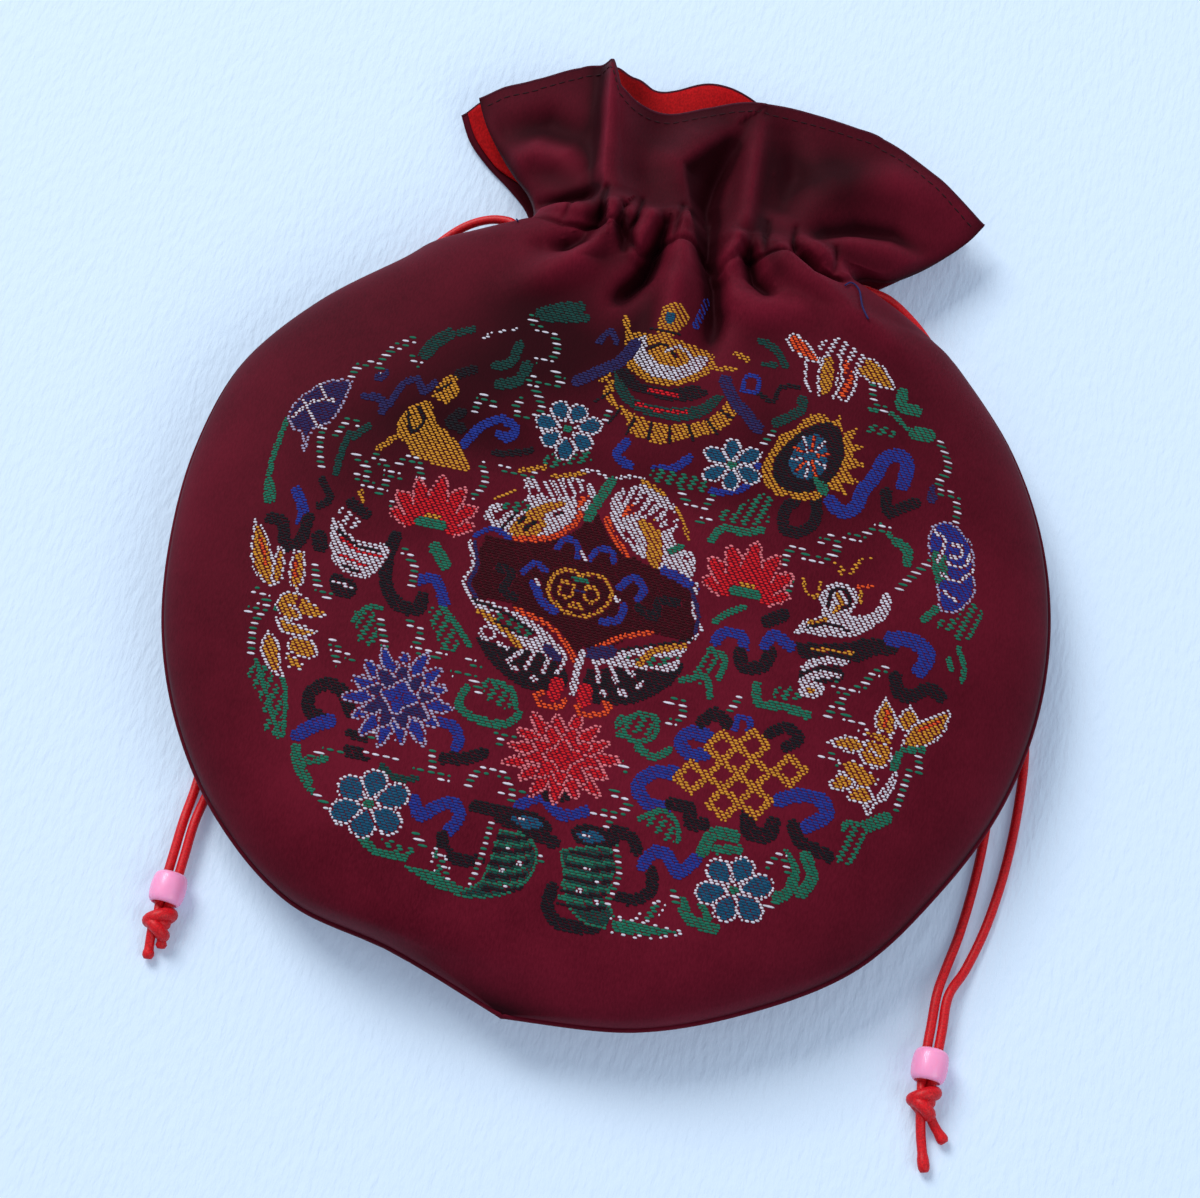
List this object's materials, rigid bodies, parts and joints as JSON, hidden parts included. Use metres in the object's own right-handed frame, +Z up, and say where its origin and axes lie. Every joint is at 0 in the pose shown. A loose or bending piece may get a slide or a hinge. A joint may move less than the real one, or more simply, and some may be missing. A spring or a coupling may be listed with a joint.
{
  "type": "mala bag",
  "caption": "Round lined drawstring pouch in brocade satin, gathered at the neck on two doubled cords that end in a bead and a knot.",
  "frame": {"origin": "centre of the round body's underside, where the pouch lies on the table", "axes": "+Y towards the mouth along the pouch, +X to the right seen from above, +Z up out of the front panel"},
  "size_m": [0.2065, 0.2582, 0.0315],
  "materials": {
    "maroon_satin": "satin weave with a brocade medallion",
    "red_lining": "plain woven lining",
    "red_cord": "braided satin cord",
    "pink_plastic": "moulded, slightly translucent"
  },
  "bodies": {
    "root": {"outer_front": "maroon_satin", "outer_back": "maroon_satin", "lining_front": "red_lining", "lining_back": "red_lining", "left_drawcord_in_casing": "red_cord", "left_drawcord_strand_a": "red_cord", "left_drawcord_strand_b": "red_cord", "left_knot": "red_cord", "right_drawcord_in_casing": "red_cord", "right_drawcord_strand_a": "red_cord", "right_drawcord_strand_b": "red_cord", "right_knot": "red_cord"},
    "left_bead": {"left_bead": "pink_plastic"},
    "right_bead": {"right_bead": "pink_plastic"}
  },
  "joints": [
    {"name": "left_bead_slide", "type": "slide", "parent": "root", "child": "left_bead", "axis": [0, 1, 0], "range_m": [0, 0.012]},
    {"name": "right_bead_slide", "type": "slide", "parent": "root", "child": "right_bead", "axis": [0, 1, 0], "range_m": [0, 0.012]}
  ]
}
